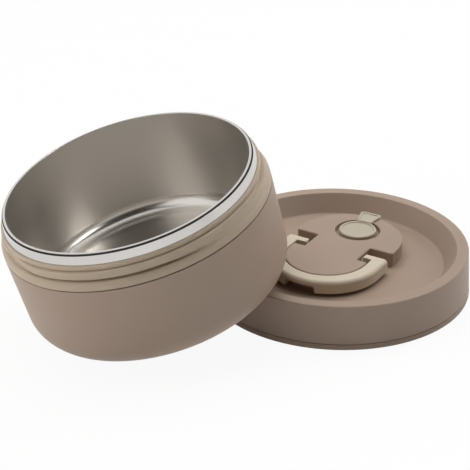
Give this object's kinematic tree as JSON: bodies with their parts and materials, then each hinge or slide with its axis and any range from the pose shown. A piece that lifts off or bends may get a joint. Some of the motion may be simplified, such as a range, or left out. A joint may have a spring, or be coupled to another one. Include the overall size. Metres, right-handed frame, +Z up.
{
  "type": "insulated bowl with lid",
  "caption": "Double-walled steel bowl in a plastic casing with a threaded collar, leaning over its screw lid, which has a folding carry handle and a pull-out vent plug.",
  "frame": {"origin": "Middle of the floor area that the leaning bowl and its lid cover, at floor level", "axes": "+X runs from the bowl to the lid, +Z is up, and +Y completes the right-handed frame"},
  "size_m": [0.265, 0.15, 0.1036],
  "materials": {
    "brushed_steel": "satin",
    "polished_steel": "polished",
    "getter_metal": "matte",
    "taupe_plastic": "fine matte",
    "beige_plastic": "fine matte",
    "silicone": "matte",
    "cushion_rubber": "matte",
    "white_plastic": "satin",
    "foam": "matte"
  },
  "bodies": {
    "bowl": {"inner_liner": "brushed_steel", "steel_jacket": "polished_steel", "jacket_bottom": "brushed_steel", "getter": "getter_metal", "seal_off_plug": "brushed_steel", "neck_seal": "silicone", "thread_collar": "beige_plastic", "outer_casing": "taupe_plastic", "base_cushion": "cushion_rubber"},
    "lid": {"lid_shell": "taupe_plastic", "lid_liner": "white_plastic", "lid_foam": "foam", "lid_gasket": "silicone"},
    "handle": {"handle": "beige_plastic"},
    "vent_plug": {"vent_plug": "silicone"}
  },
  "joints": [
    {"name": "lid_draw_away", "type": "slide", "parent": "bowl", "child": "lid", "axis": [1, 0, 0], "range_m": [0, 0.12]},
    {"name": "handle_fold", "type": "hinge", "parent": "lid", "child": "handle", "pos_m": [0.0557, -0.00143, 0.02], "axis": [-0.6198, 0.7848, 0], "range_deg": [0, 120]},
    {"name": "vent_plug_pull", "type": "slide", "parent": "lid", "child": "vent_plug", "axis": [0, 0, 1], "range_m": [0, 0.012]}
  ]
}
